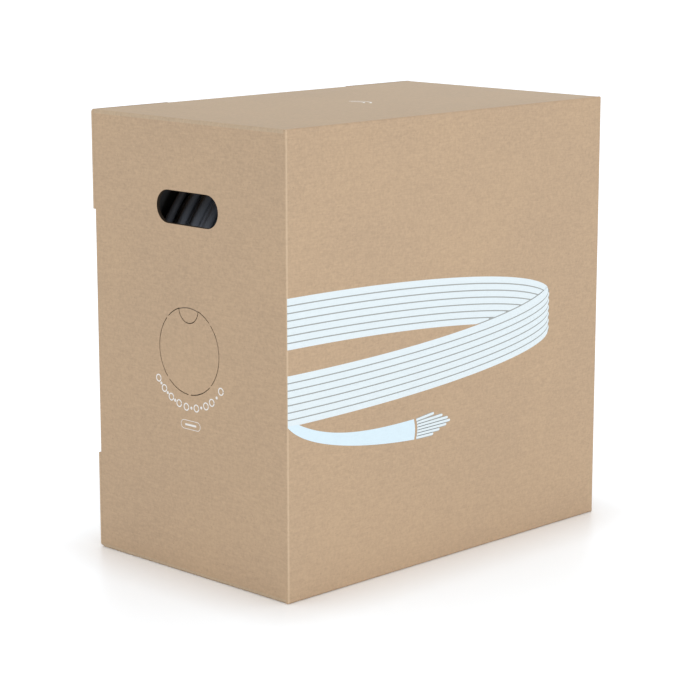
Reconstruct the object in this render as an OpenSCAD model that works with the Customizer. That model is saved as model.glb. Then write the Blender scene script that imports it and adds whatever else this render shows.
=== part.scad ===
// Cable spool box: a folded corrugated carton that carries a spool of data cable on an axle.
// The printed side faces +X, the door is at -X, and the two ends with the hand holes face -Y and +Y.
// The origin is on the floor, under the middle of the box. All lengths are millimetres.

/* [Box] */
// Width over the printed side and the door
box_w = 260; // [210:1:320]
// Depth from the front end to the rear end
box_d = 428; // [350:1:520]
// Height over the top and bottom panels
box_h = 420; // [345:1:520]
// Thickness of the corrugated board
board_t = 3.5; // [2.8:0.1:4.5]
// Outer radius of a folded edge
fold_r = 2; // [0.5:0.1:2.5]
// Reach of each glued flap under the top panel and over the bottom panel
flap_reach = 45; // [25:1:60]

/* [Door] */
// Length of the flat corner zones that lie over the wall edges
door_corner = 93; // [60:1:110]
// Radius of the door's two free corners
door_corner_r = 3; // [1:0.5:8]
// Reach of each tuck tab into the box
tab_reach = 38; // [20:1:50]
// Gap between a tuck tab and the top or bottom panel
tab_gap = 0.8; // [0.4:0.1:1.5]
// Least gap that the front tab keeps to its wall while the door swings
swing_gap = 0.3; // [0.2:0.1:1]
// Gap under the door's lower edge
door_lift = 0.5; // [0.3:0.1:1.5]

/* [Hand holes] */
// Length of a hand hole
hand_len = 82.4; // [70:0.2:95]
// Height of a hand hole
hand_h = 30.5; // [24:0.5:40]
// Distance from the top of the box to the middle of a hand hole
hand_drop = 80.4; // [60:0.2:90]

/* [Pay-out port] */
// Diameter of the perforated disc
port_d = 80.5; // [60:0.5:90]
// Width of the cut line around the disc
cut_w = 0.9; // [0.5:0.1:1.5]
// Width of an uncut tie across the cut line
tie_w = 3; // [1.5:0.1:4]
// Width of the thumb tab
thumb_w = 25; // [20:0.5:30]
// Depth of the thumb tab below the rim of the disc
thumb_depth = 14; // [13:0.5:20]

/* [Spool] */
// Thickness of a spool flange over its ribs
flange_t = 6; // [5:0.5:9]
// Thickness of a flange's web between the ribs
web_t = 2.5; // [2:0.1:3.5]
// Width of a flange's rim and of its rings
rim_w = 7; // [5:0.5:10]
// Number of ribs on a flange
rib_count = 16; // [8:1:24]
// Outer diameter of the winding barrel
barrel_d = 110; // [90:1:140]
// Wall of the winding barrel
barrel_wall = 5; // [3:0.5:7]
// Outer diameter of the axle tube
axle_d = 38; // [30:1:44]
// Wall of the axle tube
axle_wall = 3; // [2:0.5:4]
// Radial running clearance between the bushings and the axle tube
run_gap = 0.08; // [0.04:0.01:0.1]
// End play between a bushing and its axle plug
end_play = 0.5; // [0.3:0.1:1]
// Diameter of the tie bolts
bolt_d = 6; // [5:1:8]
// Diameter of the circle that the tie bolts stand on
bolt_circle = 82; // [80:1:86]
// Clear distance between the flanges and the tuck tabs
spool_clear = 6.2; // [4:0.2:10]

/* [Cable] */
// Diameter of the cable
cable_d = 8.8; // [6:0.1:10]
// Gap between neighbouring turns
turn_gap = 0.2; // [0.1:0.1:0.5]
// Distance from the outermost turns to the flange rims
rim_margin = 6; // [3:0.5:15]

/* [Axle braces] */
// Height of the rails along the top and the bottom of a brace
rail_h = 62; // [50:1:75]
// Width of the post that carries the axle
post_w = 150; // [110:1:170]

/* [Hidden] */
$fn = 96;

KRAFT = "#BFA285";
KRAFT_INNER = "#B7997A";
PAPERBOARD = "#A98B6B";
PLASTIC = "#2B2C2E";
STEEL = "#A9ADB2";
JACKET = "#1E1F21";
TAPE = "#D8D2C4";
TIE_SHORT = 0.05;    // what a tie or a crease falls short of the piece that it bridges to
OVERRUN = 1;         // how far a cutting shape runs past the face that it cuts

// Planes of the carton's inner faces and of the door's inner face
wall_x = box_w / 2 - board_t;
wall_y = box_d / 2 - board_t;
wall_z = box_h - board_t;
end_mid_x = board_t / 2;          // middle of an end, whose width leaves out the door
mid_z = box_h / 2;

// Tuck tabs: the front one needs more room, because its tip swings round the door's hinge
hinge_reach = box_d - board_t;
front_gap = hinge_reach - sqrt(pow(hinge_reach - swing_gap, 2) - pow(tab_reach, 2));
front_tab_y = wall_y - front_gap;   // outer face of the front tab, as a distance from the middle
tab_side_gap = 1.5;                 // between a tab and the end of its notch
tab_taper = 3;                      // how much a tab narrows on each side towards its tip
tab_tip_r = 8;                      // radius of a tab's two free corners

// Spool, from the braces inwards
brace_gap = 0.3;                    // between a brace and the panel or door behind it
brace_in = wall_x - brace_gap - board_t;
plug_flange_t = 2;
plug_spigot = 15;                   // how far a plug reaches into the axle tube
plug_flange_d = axle_d + 18;
washer_t = 1.5;
washer_d = 3 * bolt_d;
head_h = 4;                         // of a bolt head, and of a nut
bolt_clear = 2.5;                   // between a bolt head and its brace
collar_t = washer_t + head_h + bolt_clear - plug_flange_t - end_play;
flange_out = brace_in - plug_flange_t - end_play - collar_t;
flange_in = flange_out - flange_t;
flange_r = min(box_h / 2 - 2 * board_t - tab_gap, front_tab_y - board_t) - spool_clear;
bushing_d = axle_d + 12;
collar_d = bushing_d + 10;
bolt_count = 4;
hex_d = bolt_d * 1.9;               // across the corners of a bolt head or nut
bolt_play = 0.05;                   // radial, where a bolt passes a flange, washer or nut

// Winding: a close-wound pack, with the last layer an open helix in every second groove
turn_pitch = cable_d + turn_gap;
turns = floor(2 * flange_in / turn_pitch);
first_turn = -(turns - 1) * turn_pitch / 2;
outer_turn_r = flange_r - rim_margin - cable_d / 2;
layer_step = sqrt(pow(cable_d + 2 * turn_gap, 2) - pow(turn_pitch / 2, 2));
pack_turn_r = outer_turn_r - layer_step;
lead_hole_d = cable_d + 4;          // where the cable's inner end leaves through a flange
rib_w = 2.5;
hub_ring_r = barrel_d / 2 + rim_w;  // outer radius of the solid middle of a flange
mid_ring_r = (hub_ring_r + flange_r) / 2;
tape_t = 0.4;
tape_arc = 16;                      // degrees round the winding
tape_turns = 4;                     // how many outer turns the tape covers
tape_start = 112;                   // angle of the tape about the axle, from straight down

// A rectangle across a board, with its two outer corners rounded as folds
module fold_profile(width) {
    intersection() {
        square([board_t, width]);
        union() {
            square([board_t - fold_r, width]);
            translate([0, fold_r]) square([board_t, width - 2 * fold_r]);
            for (v = [fold_r, width - fold_r])
                translate([board_t - fold_r, v]) circle(fold_r);
        }
    }
}

// Slab with its outer face up and both long edges folded over; length runs along X
module folded_slab(length, width) {
    translate([-length / 2, -width / 2, 0])
        rotate([90, 0, 90])
            linear_extrude(length)
                rotate(90) mirror([0, 1]) fold_profile(width);
}

// Obround across X and Z, run right through a board that faces Y
module hand_hole_cut(y) {
    straight = hand_len - hand_h;
    translate([end_mid_x, y, box_h - hand_drop]) {
        translate([-straight / 2, -board_t, -hand_h / 2])
            cube([straight, 2 * board_t, hand_h]);
        for (s = [-1, 1])
            translate([s * straight / 2, board_t, 0])
                rotate([90, 0, 0]) cylinder(h = 2 * board_t, d = hand_h);
    }
}

// Places a flat shape, drawn with X across and Y up, in the front end about the port's middle
module in_front_end() {
    translate([end_mid_x, -wall_y, mid_z])
        rotate([90, 0, 0])
            linear_extrude(board_t) children();
}

// Outline of the thumb tab, grown by a margin
module thumb_outline(margin) {
    intersection() {
        translate([0, (port_d + thumb_w) / 2 - thumb_depth]) circle(thumb_w / 2 + margin);
        circle((port_d + cut_w) / 2 - TIE_SHORT);
    }
}

module end_panel(y) {
    translate([-wall_x, y - board_t / 2, board_t])
        cube([2 * wall_x, board_t, box_h - 2 * board_t]);
}

module side_panel() {
    color(KRAFT)
    intersection() {
        translate([wall_x, -box_d / 2, 0])
            linear_extrude(box_h) fold_profile(box_d);
        translate([wall_x, box_d / 2, 0])
            rotate([90, 0, 0]) linear_extrude(box_d) fold_profile(box_h);
    }
}

module front_panel() {
    color(KRAFT)
    difference() {
        end_panel(-wall_y - board_t / 2);
        hand_hole_cut(-wall_y - board_t / 2);
        translate([end_mid_x, -wall_y + board_t, mid_z])
            rotate([90, 0, 0]) cylinder(h = 3 * board_t, d = port_d + cut_w);
    }
}

module rear_panel() {
    color(KRAFT)
    difference() {
        end_panel(wall_y + board_t / 2);
        hand_hole_cut(wall_y + board_t / 2);
    }
}

module top_panel() {
    color(KRAFT)
    translate([0, 0, wall_z])
        folded_slab(2 * wall_x, box_d);
}

module bottom_panel() {
    color(KRAFT)
    translate([0, 0, board_t])
        mirror([0, 0, 1]) folded_slab(2 * wall_x, box_d);
}

// Flap glued to the inner face at z, with its free edge cut back at both ends
module glue_flap(end_sign, z) {
    cut_back = 12;
    side_gap = 1;
    half = wall_x - side_gap;
    color(KRAFT_INNER)
    translate([0, end_sign * wall_y, z])
        scale([1, -end_sign, 1])
            linear_extrude(board_t)
                polygon([[-half, 0], [half, 0], [half - cut_back, flap_reach],
                         [-half + cut_back, flap_reach]]);
}

module glue_flap_front_top() { glue_flap(-1, wall_z - board_t); }
module glue_flap_front_bottom() { glue_flap(-1, board_t); }
module glue_flap_rear_top() { glue_flap(1, wall_z - board_t); }
module glue_flap_rear_bottom() { glue_flap(1, board_t); }

// Brace outline with Y across and Z up: two rails and a post, cut back beside the tuck tabs
module brace_outline() {
    fold_room = 1.6;                // what a tab needs when it folds inwards
    tab_zone_y = box_d - 2 * door_corner;
    tab_zone_z = box_h - 2 * door_corner;
    tab_cut_z = 2 * board_t + tab_gap + fold_room;
    tab_cut_y = front_tab_y - board_t - fold_room;
    difference() {
        translate([-wall_y, 2 * board_t]) square([2 * wall_y, box_h - 4 * board_t]);
        for (s = [-1, 1])
            translate([s > 0 ? post_w / 2 : -wall_y - OVERRUN, 2 * board_t + rail_h])
                square([wall_y + OVERRUN - post_w / 2, box_h - 4 * board_t - 2 * rail_h]);
        for (z = [0, box_h - tab_cut_z])
            translate([-tab_zone_y / 2, z]) square([tab_zone_y, tab_cut_z]);
        translate([-wall_y - OVERRUN, mid_z - tab_zone_z / 2])
            square([wall_y + OVERRUN - tab_cut_y, tab_zone_z]);
        translate([0, mid_z]) circle(d = axle_d - 2 * axle_wall);
    }
}

module axle_brace(x) {
    color(KRAFT_INNER)
    translate([x, 0, 0])
        rotate([90, 0, 90]) linear_extrude(board_t) brace_outline();
}

module axle_brace_side() { axle_brace(brace_in); }
module axle_brace_door() { axle_brace(-brace_in - board_t); }

// Lays a shape that is turned about Z along the spool's axis, which is parallel to X
module on_axle() {
    translate([0, 0, mid_z]) rotate([0, 90, 0]) children();
}

module tube(length, outer_d, inner_d) {
    translate([0, 0, -length / 2])
        difference() {
            cylinder(h = length, d = outer_d);
            translate([0, 0, -OVERRUN]) cylinder(h = length + 2 * OVERRUN, d = inner_d);
        }
}

module axle_tube() {
    color(PAPERBOARD)
    on_axle() tube(2 * (brace_in - plug_flange_t), axle_d, axle_d - 2 * axle_wall);
}

// Boss in the brace, flange on its inner face and spigot in the axle tube, with a blind socket
module axle_plug() {
    boss_d = axle_d - 2 * axle_wall;
    socket_d = boss_d - 2 * axle_wall;
    color(PLASTIC)
    on_axle()
        difference() {
            union() {
                translate([0, 0, brace_in - plug_flange_t - plug_spigot])
                    cylinder(h = plug_spigot + plug_flange_t + board_t, d = boss_d);
                translate([0, 0, brace_in - plug_flange_t])
                    cylinder(h = plug_flange_t, d = plug_flange_d);
            }
            translate([0, 0, brace_in - plug_flange_t - plug_spigot - OVERRUN])
                cylinder(h = plug_spigot + OVERRUN, d = socket_d);
        }
}

module axle_plug_side() { axle_plug(); }
module axle_plug_door() { mirror([1, 0, 0]) axle_plug(); }

module port_disc() {
    outer_r = (port_d - cut_w) / 2;
    color(KRAFT)
    in_front_end()
        difference() {
            union() {
                circle(outer_r);
                for (a = [45, 135, 225, 270, 315])
                    rotate(a)
                        translate([outer_r - OVERRUN, -tie_w / 2])
                            square([OVERRUN + cut_w - TIE_SHORT, tie_w]);
            }
            thumb_outline(cut_w);
        }
}

module thumb_tab() {
    color(KRAFT)
    in_front_end() thumb_outline(0);
}

// Door outline with Y across and Z up; the hinge edge is at +Y
module door_outline() {
    front = -box_d / 2;
    notch_z = board_t + tab_gap;
    notch_y = board_t + front_gap;
    difference() {
        union() {
            translate([front + door_corner_r, door_lift])
                square([box_d - door_corner_r, box_h - door_lift]);
            translate([front, door_lift + door_corner_r])
                square([door_corner_r, box_h - door_lift - 2 * door_corner_r]);
            for (z = [door_lift + door_corner_r, box_h - door_corner_r])
                translate([front + door_corner_r, z]) circle(door_corner_r);
        }
        translate([front + door_corner, box_h - notch_z])
            square([box_d - 2 * door_corner, notch_z + OVERRUN]);
        translate([front + door_corner, -OVERRUN])
            square([box_d - 2 * door_corner, notch_z + OVERRUN]);
        translate([front - OVERRUN, door_corner])
            square([notch_y + OVERRUN, box_h - 2 * door_corner]);
    }
}

module door_panel() {
    color(KRAFT)
    intersection() {
        translate([-box_w / 2, 0, 0])
            rotate([90, 0, 90]) linear_extrude(board_t) door_outline();
        translate([-wall_x, -box_d / 2, 0])
            linear_extrude(box_h)
                mirror([1, 0]) translate([0, -box_d]) fold_profile(2 * box_d);
    }
}

// Tuck tab lying flat on Z = 0, its crease on the Y axis and its tip towards +X
module tuck_tab(length) {
    base = length / 2 - tab_side_gap;
    tip = base - tab_taper;
    color(KRAFT)
    linear_extrude(board_t)
        union() {
            polygon([[0, -base], [tab_reach - tab_tip_r, -tip], [tab_reach - tab_tip_r, tip],
                     [0, base]]);
            translate([tab_reach - tab_tip_r - OVERRUN, tab_tip_r - tip])
                square([tab_tip_r + OVERRUN, 2 * (tip - tab_tip_r)]);
            for (s = [-1, 1])
                translate([tab_reach - tab_tip_r, s * (tip - tab_tip_r)]) circle(tab_tip_r);
        }
}

module front_tab() {
    translate([-wall_x, -front_tab_y, mid_z])
        rotate([-90, 0, 0]) tuck_tab(box_h - 2 * door_corner);
}

module top_tab() {
    translate([-wall_x, 0, wall_z - tab_gap - board_t]) tuck_tab(box_d - 2 * door_corner);
}

module bottom_tab() {
    translate([-wall_x, 0, board_t + tab_gap]) tuck_tab(box_d - 2 * door_corner);
}

// What is moulded away from a flange's outer face: two rings of pockets between the ribs
module flange_pockets() {
    difference() {
        cylinder(h = flange_t, r = flange_r - rim_w);
        cylinder(h = flange_t, r = hub_ring_r);
        difference() {
            cylinder(h = flange_t, r = mid_ring_r + rim_w / 2);
            cylinder(h = flange_t, r = mid_ring_r - rim_w / 2);
        }
        for (i = [0 : rib_count - 1])
            rotate((i + 0.5) * 360 / rib_count)
                translate([0, -rib_w / 2, 0]) cube([flange_r, rib_w, flange_t]);
    }
}

// One flange with its ribs outwards, and bores for the bushing, the bolts and the lead
module spool_flange(with_lead_hole) {
    color(PLASTIC)
    on_axle()
        translate([0, 0, flange_in])
            difference() {
                cylinder(h = flange_t, r = flange_r, $fn = 180);
                translate([0, 0, web_t]) flange_pockets();
                translate([0, 0, -OVERRUN])
                    cylinder(h = flange_t + 2 * OVERRUN, d = bushing_d);
                at_bolts()
                    translate([0, 0, -OVERRUN])
                        cylinder(h = flange_t + 2 * OVERRUN, r = bolt_d / 2 + bolt_play);
                if (with_lead_hole)
                    translate([(barrel_d + lead_hole_d) / 2 + OVERRUN, 0, -OVERRUN])
                        cylinder(h = flange_t + 2 * OVERRUN, d = lead_hole_d);
            }
}

module at_bolts() {
    for (i = [0 : bolt_count - 1])
        rotate((i + 0.5) * 360 / bolt_count)
            translate([bolt_circle / 2, 0, 0]) children();
}

module spool_flange_side() { spool_flange(false); }
module spool_flange_door() { mirror([1, 0, 0]) spool_flange(true); }

module winding_barrel() {
    color(PAPERBOARD)
    on_axle() tube(2 * flange_in, barrel_d, barrel_d - 2 * barrel_wall);
}

module bushing() {
    color(PLASTIC)
    on_axle()
        difference() {
            union() {
                translate([0, 0, flange_in]) cylinder(h = flange_t + collar_t, d = bushing_d);
                translate([0, 0, flange_out]) cylinder(h = collar_t, d = collar_d);
            }
            translate([0, 0, flange_in - OVERRUN])
                cylinder(h = flange_t + collar_t + 2 * OVERRUN, r = axle_d / 2 + run_gap);
        }
}

module bushing_side() { bushing(); }
module bushing_door() { mirror([1, 0, 0]) bushing(); }

module tie_bolts() {
    nut_end = flange_out + washer_t + head_h;
    color(STEEL)
    on_axle()
        at_bolts() {
            translate([0, 0, -flange_out - washer_t])
                cylinder(h = flange_out + washer_t + nut_end, d = bolt_d);
            translate([0, 0, -flange_out - washer_t - head_h])
                cylinder(h = head_h, d = hex_d, $fn = 6);
        }
}

module bolt_washers() {
    color(STEEL)
    on_axle()
        at_bolts()
            for (z = [-flange_out - washer_t, flange_out])
                translate([0, 0, z + washer_t / 2]) tube(washer_t, washer_d, bolt_d + 2 * bolt_play);
}

module tie_nuts() {
    color(STEEL)
    on_axle()
        at_bolts()
            translate([0, 0, flange_out + washer_t])
                difference() {
                    cylinder(h = head_h, d = hex_d, $fn = 6);
                    translate([0, 0, -OVERRUN])
                        cylinder(h = head_h + 2 * OVERRUN, r = bolt_d / 2 + bolt_play);
                }
}

module cable_winding() {
    half = turns * turn_pitch / 2;
    color(JACKET)
    on_axle()
        rotate_extrude($fn = 180) {
            translate([barrel_d / 2, -half]) square([pack_turn_r - barrel_d / 2, 2 * half]);
            for (i = [0 : turns - 1])
                translate([pack_turn_r, first_turn + i * turn_pitch]) circle(d = cable_d, $fn = 32);
        }
}

module cable_outer_turns() {
    color(JACKET)
    on_axle()
        for (i = [0 : 2 : turns - 2])
            translate([0, 0, first_turn + (i + 0.5) * turn_pitch])
                rotate_extrude($fn = 180)
                    translate([outer_turn_r, 0]) circle(d = cable_d, $fn = 32);
}

// A strip of tape over the last few turns, which holds the cable's free end down
module end_tape() {
    strip_w = tape_turns * 2 * turn_pitch;
    strip_r = outer_turn_r + cable_d / 2;
    color(TAPE)
    on_axle()
        rotate(tape_start)
            translate([0, 0, first_turn + turn_pitch / 2 - cable_d / 2])
                rotate_extrude(angle = tape_arc)
                    translate([strip_r, 0]) square([tape_t, strip_w]);
}

side_panel();
front_panel();
rear_panel();
top_panel();
bottom_panel();
glue_flap_front_top();
glue_flap_front_bottom();
glue_flap_rear_top();
glue_flap_rear_bottom();
axle_brace_side();
axle_brace_door();
axle_tube();
axle_plug_side();
axle_plug_door();
port_disc();
thumb_tab();
door_panel();
front_tab();
top_tab();
bottom_tab();
spool_flange_side();
spool_flange_door();
winding_barrel();
bushing_side();
bushing_door();
tie_bolts();
bolt_washers();
tie_nuts();
cable_winding();
cable_outer_turns();
end_tape();
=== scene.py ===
"""Looks of the cable spool box: a folded kraft carton with a spool of black data cable inside it."""

import math

import bmesh
import bpy
import numpy as np
from bpy.props import FloatProperty, FloatVectorProperty, IntProperty, PointerProperty
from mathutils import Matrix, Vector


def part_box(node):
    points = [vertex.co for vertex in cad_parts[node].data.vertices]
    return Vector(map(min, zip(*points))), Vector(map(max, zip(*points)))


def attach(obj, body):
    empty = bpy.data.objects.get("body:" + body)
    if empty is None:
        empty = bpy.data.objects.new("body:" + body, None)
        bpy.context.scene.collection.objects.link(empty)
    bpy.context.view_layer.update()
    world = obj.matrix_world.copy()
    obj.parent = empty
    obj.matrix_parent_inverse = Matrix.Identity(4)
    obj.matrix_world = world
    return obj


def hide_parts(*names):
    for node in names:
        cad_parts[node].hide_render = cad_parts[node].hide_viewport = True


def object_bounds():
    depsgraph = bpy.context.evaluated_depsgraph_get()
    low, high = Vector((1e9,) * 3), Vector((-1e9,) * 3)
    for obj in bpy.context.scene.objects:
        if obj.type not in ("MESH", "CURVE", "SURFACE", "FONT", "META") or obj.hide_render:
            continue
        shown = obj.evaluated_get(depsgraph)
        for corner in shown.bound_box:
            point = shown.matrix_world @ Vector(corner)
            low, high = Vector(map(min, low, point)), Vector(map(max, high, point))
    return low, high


bl_info = {
    "name": "Cable Spool Box",
    "version": (1, 0, 0),
    "blender": (4, 5, 0),
    "location": "View3D > Sidebar > Spool Box",
    "description": "Builds a folded corrugated carton with its spool of data cable",
    "category": "Object",
}

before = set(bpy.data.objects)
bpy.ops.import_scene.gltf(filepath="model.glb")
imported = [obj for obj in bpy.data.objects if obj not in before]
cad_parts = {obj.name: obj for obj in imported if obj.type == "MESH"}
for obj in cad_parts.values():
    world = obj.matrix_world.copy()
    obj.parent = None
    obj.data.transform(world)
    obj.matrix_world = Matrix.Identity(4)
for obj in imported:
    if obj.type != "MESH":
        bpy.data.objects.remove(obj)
CAD_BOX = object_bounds()
LOW, HIGH = (np.array(corner) for corner in CAD_BOX)
X, Y, Z = 0, 1, 2
MM = 0.001

SIDE_LOW, SIDE_HIGH = (np.array(corner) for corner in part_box("side_panel"))
PORT_LOW, PORT_HIGH = (np.array(corner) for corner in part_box("port_disc"))
BOARD_T = float(SIDE_HIGH[X] - SIDE_LOW[X])
AXLE_Z = float((LOW[Z] + HIGH[Z]) / 2)
PORT_MIDDLE = (PORT_LOW + PORT_HIGH) / 2
HAND_DROP = 0.0804
HAND_HOLE = (float(PORT_MIDDLE[X]), float(HIGH[Z]) - HAND_DROP)
HAND_SIZE = (0.0824, 0.0305)


# ---------------------------------------------------------------- settings


class BoardSettings(bpy.types.PropertyGroup):
    """Corrugated board and its kraft paper"""

    flute_pitch: FloatProperty(
        name="Flute pitch", description="Distance from one flute to the next",
        default=0.0076, unit="LENGTH")
    liner: FloatProperty(
        name="Liner", description="Thickness of each outer paper",
        default=0.00042, unit="LENGTH")
    medium: FloatProperty(
        name="Medium", description="Thickness of the fluted paper",
        default=0.0003, unit="LENGTH")
    fold_radius: FloatProperty(
        name="Fold radius", description="Outer radius of a folded edge",
        default=0.002, unit="LENGTH")
    kraft: FloatVectorProperty(
        name="Kraft", description="Colour of the outer paper", subtype="COLOR",
        default=(0.464, 0.328, 0.212))
    # Painted sheen: the top's kraft is paler and bluer than the sides' for the white sheen it shows
    # at a grazing view; its lower roughness gives it real shine as well.
    top_kraft_painted_sheen: FloatVectorProperty(
        name="Top kraft", description="Colour of the top's outer paper, which has more shine",
        subtype="COLOR", default=(0.462, 0.344, 0.228))
    raw_kraft: FloatVectorProperty(
        name="Raw kraft", description="Colour of cut edges and of the inner paper", subtype="COLOR",
        default=(0.415, 0.305, 0.205))


class PrintSettings(bpy.types.PropertyGroup):
    """Ink on the outside of the carton"""

    loop_reach: FloatProperty(
        name="Loop reach", description="How far the printed loop runs back from the front fold",
        default=0.3525, unit="LENGTH")
    far_height: FloatProperty(
        name="Far height", description="Height at which the far half turns",
        default=0.2366, unit="LENGTH")
    far_rise: FloatProperty(
        name="Far rise", description="Rise of the far half from the turn to the fold",
        default=0.0379, unit="LENGTH")
    near_height: FloatProperty(
        name="Near height", description="Height at which the near half turns",
        default=0.2435, unit="LENGTH")
    near_fall: FloatProperty(
        name="Near fall", description="Fall of the near half from the turn to the fold",
        default=0.0373, unit="LENGTH")
    line_pitch: FloatProperty(
        name="Line pitch", description="Distance from one printed line to the next",
        default=0.00655, unit="LENGTH")
    line_gap: FloatProperty(
        name="Line gap", description="Width of the thin line between two printed lines",
        default=0.00110, unit="LENGTH")
    line_count: IntProperty(
        name="Lines", description="Number of printed lines in the loop", default=7)
    ink: FloatVectorProperty(
        name="Ink", description="Colour of the loop's printed lines", subtype="COLOR",
        default=(0.703, 0.777, 0.807))
    tail_ink: FloatVectorProperty(
        name="Tail ink", description="Colour of the loop's free end", subtype="COLOR",
        default=(0.648, 0.779, 0.851))
    line_ink: FloatVectorProperty(
        name="Line ink", description="Colour of the thin lines between the printed lines",
        subtype="COLOR", default=(0.320, 0.333, 0.320))
    turn_rise: FloatProperty(
        name="Turn rise", description="How much wider the uppermost line is at its turn",
        default=0.0026, unit="LENGTH")
    white: FloatVectorProperty(
        name="White", description="Colour of the small marks", subtype="COLOR",
        default=(0.78, 0.76, 0.73))


class CableSettings(bpy.types.PropertyGroup):
    """The wound cable"""

    diameter: FloatProperty(
        name="Diameter", description="Diameter of the cable", default=0.0088, unit="LENGTH")
    gap: FloatProperty(
        name="Gap", description="Gap between close turns", default=0.0002, unit="LENGTH")
    jacket: FloatVectorProperty(
        name="Jacket", description="Colour of the cable's jacket", subtype="COLOR",
        default=(0.028, 0.031, 0.037))


class StageSettings(bpy.types.PropertyGroup):
    """Camera and light"""

    camera_at: FloatVectorProperty(
        name="Camera", description="Where the camera stands", subtype="XYZ",
        default=(1.5213, -1.5511, 0.6262))
    turn: FloatProperty(
        name="Turn", description="How far the camera looks to the left of +Y",
        default=0.7772, subtype="ANGLE")
    tilt: FloatProperty(
        name="Tilt", description="How far the camera looks down", default=0.2027, subtype="ANGLE")
    lens: FloatProperty(
        name="Lens", description="Focal length on a 36 mm sensor", default=117.3)
    room_light: FloatProperty(
        name="Room light", description="Strength of the even white light", default=1.0)
    key_light: FloatProperty(
        name="Key light", description="Power of the large lamp on the printed side", default=10.0)
    inner_light: FloatProperty(
        name="Inner light", description="Power of the small lamp behind the front hand hole",
        default=0.08)


SETTINGS = {
    "spool_board": BoardSettings,
    "spool_print": PrintSettings,
    "spool_cable": CableSettings,
    "spool_stage": StageSettings,
}


# ---------------------------------------------------------------- meshes


class Shell:
    """Collects surfaces and closes them into one mesh."""

    def __init__(self):
        self.points, self.faces, self.coats, self.count = [], [], [], 0

    def add(self, points, faces, coat=0):
        """Points as an array of rows of three, faces as an array of indices into them."""
        self.points.append(points.reshape(-1, 3))
        self.faces += (np.asarray(faces) + self.count).tolist()
        self.coats += [coat] * len(faces)
        self.count += points.reshape(-1, 3).shape[0]

    def grid(self, points, wrap_u=False, wrap_v=False, coat=0, cap=False):
        """A surface P(u, v) given as an array (u, v, 3): each cell of the grid is one face.
        wrap joins the last row or column to the first, and cap closes both ends of a tube along u."""
        nu, nv = points.shape[:2]
        index = np.arange(nu * nv).reshape(nu, nv)
        ends = (index[0], index[-1])
        index = np.concatenate([index, index[:1]]) if wrap_u else index
        index = np.concatenate([index, index[:, :1]], axis=1) if wrap_v else index
        corners = [index[:-1, :-1], index[1:, :-1], index[1:, 1:], index[:-1, 1:]]
        faces = np.stack(corners, axis=-1).reshape(-1, 4)
        start = self.count
        self.add(points, faces, coat)
        if cap:
            self.faces += [(ends[0] + start).tolist(), (ends[1][::-1] + start).tolist()]
            self.coats += [coat, coat]

    def strip(self, near, far, low, high, lay, coat=0):
        """A thick strip: its section lies between two paths near(i) and far(i), rows of two, and is
        carried straight from low to high; lay turns section and distance into a point."""
        ring = [lay(near, low), lay(near, high), lay(far, high), lay(far, low)]
        self.grid(np.stack(ring, axis=1), wrap_v=True, cap=True, coat=coat)

    def prism(self, outline, low, high, lay, coat=0):
        """An outline in the plane, rows of two, carried straight from low to high."""
        self.grid(np.stack([lay(outline, low), lay(outline, high)]), wrap_v=True, cap=True,
                  coat=coat)

    def lathe(self, profile, steps=128):
        """A closed profile, rows of distance along the axle and radius, turned round the axle:
        P(t, a) = (along(t), radius(t) cos a, axle height + radius(t) sin a)."""
        angles = np.linspace(0, 2 * math.pi, steps, endpoint=False)
        along, radius = profile[:, 0][:, None], profile[:, 1][:, None]
        points = np.empty((len(profile), steps, 3))
        points[..., X] = along
        points[..., Y] = radius * np.cos(angles)
        points[..., Z] = AXLE_Z + radius * np.sin(angles)
        self.grid(points, wrap_u=True, wrap_v=True)

    def mesh(self, name):
        """The collected mesh, with doubles merged and normals turned outwards."""
        mesh = bpy.data.meshes.new(name)
        mesh.from_pydata(np.concatenate(self.points).tolist(), [], self.faces)
        mesh.polygons.foreach_set("material_index", self.coats)
        work = bmesh.new()
        work.from_mesh(mesh)
        bmesh.ops.remove_doubles(work, verts=work.verts, dist=1e-7)
        bmesh.ops.recalc_face_normals(work, faces=work.faces)
        work.to_mesh(mesh)
        work.free()
        return mesh


def shade(mesh, smooth=math.radians(35)):
    """Shades a mesh smooth across edges below the given angle."""
    mesh.polygons.foreach_set("use_smooth", [True] * len(mesh.polygons))
    mesh.set_sharp_from_angle(angle=smooth)


def place(name, mesh, paints):
    """An object at the origin with its materials."""
    thing = bpy.data.objects.new(name, mesh)
    bpy.context.scene.collection.objects.link(thing)
    for material in paints:
        mesh.materials.append(material)
    shade(mesh)
    return thing


def fit(thing, body, slot, *nodes):
    """Makes a piece ride on its body and stand for its CAD nodes, which it hides. slot is not used.
    """
    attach(thing, body)
    if nodes:
        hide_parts(*nodes)
    return thing


def cut(thing, cutter, operation):
    """Applies a Boolean of two closed meshes and removes the cutter."""
    modifier = thing.modifiers.new("cut", "BOOLEAN")
    modifier.operation, modifier.solver, modifier.object = operation, "EXACT", cutter
    bpy.context.view_layer.update()
    cut_mesh = bpy.data.meshes.new_from_object(
        thing.evaluated_get(bpy.context.evaluated_depsgraph_get()))
    thing.modifiers.clear()
    thing.data = cut_mesh
    shade(cut_mesh)
    bpy.data.objects.remove(cutter)


def merged_copy(node):
    """A closed copy of a CAD node's mesh, for cutting other pieces to its outline."""
    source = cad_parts[node]
    mesh = source.data.copy()
    mesh.materials.clear()
    work = bmesh.new()
    work.from_mesh(mesh)
    bmesh.ops.remove_doubles(work, verts=work.verts, dist=1e-6)
    work.to_mesh(mesh)
    work.free()
    copy = bpy.data.objects.new(node + "_outline", mesh)
    bpy.context.scene.collection.objects.link(copy)
    return copy


def arc(centre, radius, start, end, steps=8):
    """Points on a circle from one angle to another, as rows of two."""
    angles = np.linspace(math.radians(start), math.radians(end), steps)
    return np.stack([centre[0] + radius * np.cos(angles), centre[1] + radius * np.sin(angles)], -1)


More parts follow.
